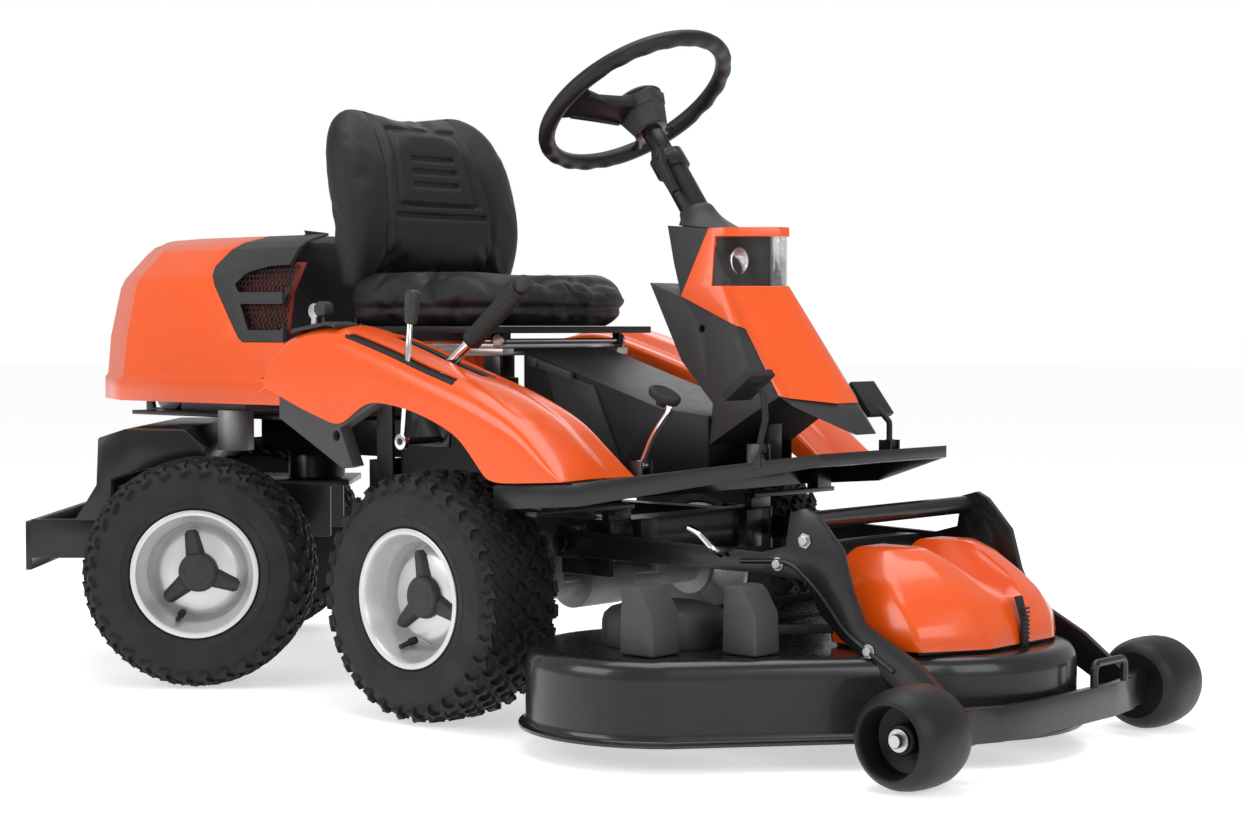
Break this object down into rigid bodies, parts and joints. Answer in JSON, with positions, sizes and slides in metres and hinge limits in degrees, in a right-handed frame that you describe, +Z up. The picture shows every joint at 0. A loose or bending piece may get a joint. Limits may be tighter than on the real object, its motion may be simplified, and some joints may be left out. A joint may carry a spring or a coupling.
{
  "type": "riding lawn mower",
  "caption": "Riding lawn mower with a front cutting deck, articulated rear-wheel steering, opening hood, tilting seat, lifting deck and rolling wheels.",
  "frame": {"origin": "middle of the whole machine on the ground, at full right lock", "axes": "+X forward towards the cutting deck, +Y to the driver's left, +Z up"},
  "size_m": [2.2555, 1.1055, 1.132],
  "materials": {
    "orange_panels": "gloss",
    "dark_panels": "satin",
    "black_plastic": "satin",
    "grey_trim": "satin",
    "black_steel": "gloss",
    "deck_paint": "satin",
    "silver_rims": "satin",
    "bare_steel": "satin",
    "chrome": "polished",
    "engine_alloy": "as cast",
    "axle_casting": "as cast",
    "tyre_rubber": "matte",
    "grip_rubber": "matte",
    "belt_rubber": "matte",
    "seat_vinyl": "matte",
    "lamp_window": "clear",
    "lamp_reflector": "polished"
  },
  "bodies": {
    "chassis": {"main_frame": "black_steel", "front_axle": "axle_casting", "engine_block": "engine_alloy", "engine_shroud": "black_plastic", "muffler": "bare_steel", "fuel_tank": "black_plastic", "right_fender": "orange_panels", "left_fender": "orange_panels", "fender_trims": "grey_trim", "footplate": "dark_panels", "tunnel_cover": "black_plastic", "access_panel": "black_plastic", "console_shell": "dark_panels", "console_cover": "orange_panels", "lamp_lens": "lamp_window", "lamp_units": "lamp_reflector", "control_panel": "black_plastic", "column_lower": "black_steel", "seat_rails": "black_steel", "lever_bracket": "black_steel"},
    "rear_carriage": {"rear_frame": "black_steel", "rear_transaxle": "axle_casting", "weight_box": "black_plastic", "tow_bar": "black_steel"},
    "wheel_front_left": {"tyre_front_left": "tyre_rubber", "rim_front_left": "silver_rims"},
    "wheel_front_right": {"tyre_front_right": "tyre_rubber", "rim_front_right": "silver_rims"},
    "wheel_rear_left": {"tyre_rear_left": "tyre_rubber", "rim_rear_left": "silver_rims"},
    "wheel_rear_right": {"tyre_rear_right": "tyre_rubber", "rim_rear_right": "silver_rims"},
    "column": {"column_upper": "black_steel"},
    "steering_wheel": {"steering_wheel": "black_plastic"},
    "clamp_lever": {"column_clamp_lever": "black_plastic"},
    "seat_slider": {"seat_slider": "black_steel"},
    "seat": {"seat_pan": "black_plastic", "seat_cushion": "seat_vinyl", "seat_back": "seat_vinyl"},
    "hood": {"hood_shell": "orange_panels", "hood_frame": "grey_trim", "intake_screens": "black_plastic"},
    "lift_lever": {"lift_lever": "chrome"},
    "lift_button": {"lift_button": "black_plastic"},
    "height_lever": {"height_lever": "chrome"},
    "throttle_lever": {"throttle_lever": "black_plastic"},
    "ignition_key": {"ignition_key": "black_plastic"},
    "forward_pedal": {"forward_pedal": "grip_rubber"},
    "reverse_pedal": {"reverse_pedal": "grip_rubber"},
    "brake_pedal": {"brake_pedal": "grip_rubber"},
    "deck_frame": {"lift_frame": "black_steel"},
    "roller_left": {"roller_left": "black_plastic"},
    "roller_right": {"roller_right": "black_plastic"},
    "deck": {"deck_shell": "deck_paint", "deck_cover": "orange_panels", "belt_guards": "dark_panels", "deck_belt": "belt_rubber"},
    "blade_left": {"blade_left": "bare_steel"},
    "blade_middle": {"blade_middle": "bare_steel"},
    "blade_right": {"blade_right": "bare_steel"}
  },
  "joints": [
    {"name": "carriage_swivel", "type": "hinge", "parent": "chassis", "child": "rear_carriage", "pos_m": [-0.5695, 0.012, 0.43], "axis": [0, 0, 1], "range_deg": [-83.2, 0]},
    {"name": "front_left_roll", "type": "hinge", "parent": "chassis", "child": "wheel_front_left", "pos_m": [0.155, 0.3815, 0.2035], "axis": [0, 1, 0], "continuous": true},
    {"name": "front_right_roll", "type": "hinge", "parent": "chassis", "child": "wheel_front_right", "pos_m": [0.155, -0.3575, 0.2035], "axis": [0, 1, 0], "continuous": true},
    {"name": "rear_left_roll", "type": "hinge", "parent": "rear_carriage", "child": "wheel_rear_left", "pos_m": [-0.93409, 0.18242, 0.2035], "axis": [-0.6639, 0.7478, 0], "continuous": true},
    {"name": "rear_right_roll", "type": "hinge", "parent": "rear_carriage", "child": "wheel_rear_right", "pos_m": [-0.44345, -0.37021, 0.2035], "axis": [-0.6639, 0.7478, 0], "continuous": true},
    {"name": "column_slide", "type": "slide", "parent": "chassis", "child": "column", "axis": [-0.5736, 0, 0.8192], "range_m": [-0.02, 0.03]},
    {"name": "steering_turn", "type": "hinge", "parent": "column", "child": "steering_wheel", "pos_m": [0.255, 0.012, 1.022], "axis": [-0.5736, 0, 0.8192], "range_deg": [0, 916]},
    {"name": "clamp_lever_turn", "type": "hinge", "parent": "chassis", "child": "clamp_lever", "pos_m": [0.34529, -0.033, 0.92305], "axis": [0, -1, 0], "range_deg": [0, 70]},
    {"name": "seat_slide", "type": "slide", "parent": "chassis", "child": "seat_slider", "axis": [1, 0, 0], "range_m": [-0.04, 0.04]},
    {"name": "seat_tilt", "type": "hinge", "parent": "seat_slider", "child": "seat", "pos_m": [0.08, 0.012, 0.615], "axis": [0, 1, 0], "range_deg": [0, 40]},
    {"name": "hood_open", "type": "hinge", "parent": "chassis", "child": "hood", "pos_m": [-1.0095, 0.012, 0.512], "axis": [0, -1, 0], "range_deg": [0, 75]},
    {"name": "deck_lift", "type": "hinge", "parent": "chassis", "child": "deck_frame", "pos_m": [0.305, 0.012, 0.29], "axis": [0, -1, 0], "range_deg": [0, 7]},
    {"name": "lift_lever_turn", "type": "hinge", "parent": "chassis", "child": "lift_lever", "pos_m": [0.063, -0.318, 0.52], "axis": [0, -1, 0], "range_deg": [0, 60]},
    {"name": "lift_button_press", "type": "slide", "parent": "lift_lever", "child": "lift_button", "axis": [-0.7937, 0, -0.6083], "range_m": [0, 0.006], "stiffness_N_per_m": 800},
    {"name": "deck_height", "type": "slide", "parent": "deck_frame", "child": "deck", "axis": [0, 0, 1], "range_m": [-0.012, 0.012]},
    {"name": "height_lever_turn", "type": "hinge", "parent": "chassis", "child": "height_lever", "pos_m": [0.095, -0.384, 0.452], "axis": [0, -1, 0], "range_deg": [-28, 28]},
    {"name": "throttle_turn", "type": "hinge", "parent": "chassis", "child": "throttle_lever", "pos_m": [-0.113, -0.368, 0.596], "axis": [0, -1, 0], "range_deg": [-20, 20]},
    {"name": "key_turn", "type": "hinge", "parent": "chassis", "child": "ignition_key", "pos_m": [-0.159, -0.35, 0.65], "axis": [0, 0, 1], "range_deg": [0, 90]},
    {"name": "forward_pedal_turn", "type": "hinge", "parent": "chassis", "child": "forward_pedal", "pos_m": [0.695, -0.21, 0.454], "axis": [0, 1, 0], "range_deg": [0, 20], "stiffness_Nm_per_rad": 30, "springref_deg": -11.46},
    {"name": "reverse_pedal_turn", "type": "hinge", "parent": "chassis", "child": "reverse_pedal", "pos_m": [0.467, -0.218, 0.42], "axis": [0, 1, 0], "range_deg": [0, 18], "stiffness_Nm_per_rad": 30, "springref_deg": -11.46},
    {"name": "brake_pedal_turn", "type": "hinge", "parent": "chassis", "child": "brake_pedal", "pos_m": [0.607, 0.262, 0.44], "axis": [0, 1, 0], "range_deg": [0, 18], "stiffness_Nm_per_rad": 30, "springref_deg": -11.46},
    {"name": "left_roller_roll", "type": "hinge", "parent": "deck_frame", "child": "roller_left", "pos_m": [1.055, 0.3504, 0.0727], "axis": [0, 1, 0], "continuous": true},
    {"name": "right_roller_roll", "type": "hinge", "parent": "deck_frame", "child": "roller_right", "pos_m": [1.055, -0.3264, 0.0727], "axis": [0, 1, 0], "continuous": true},
    {"name": "blade_middle_spin", "type": "hinge", "parent": "deck", "child": "blade_middle", "pos_m": [0.871, 0.012, 0.1], "axis": [0, 0, 1], "continuous": true},
    {"name": "blade_left_spin", "type": "hinge", "parent": "deck", "child": "blade_left", "pos_m": [0.591, 0.33, 0.1], "axis": [0, 0, 1], "continuous": true},
    {"name": "blade_right_spin", "type": "hinge", "parent": "deck", "child": "blade_right", "pos_m": [0.591, -0.306, 0.1], "axis": [0, 0, 1], "continuous": true}
  ],
  "couplings": [
    {"joint": "steering_turn", "follows": "carriage_swivel", "ratio": -11},
    {"joint": "lift_lever_turn", "follows": "deck_lift", "ratio": 8.5714},
    {"joint": "height_lever_turn", "follows": "deck_height", "rad_per_m": 40.5},
    {"joint": "blade_left_spin", "follows": "blade_middle_spin", "ratio": 1},
    {"joint": "blade_right_spin", "follows": "blade_middle_spin", "ratio": 1}
  ]
}
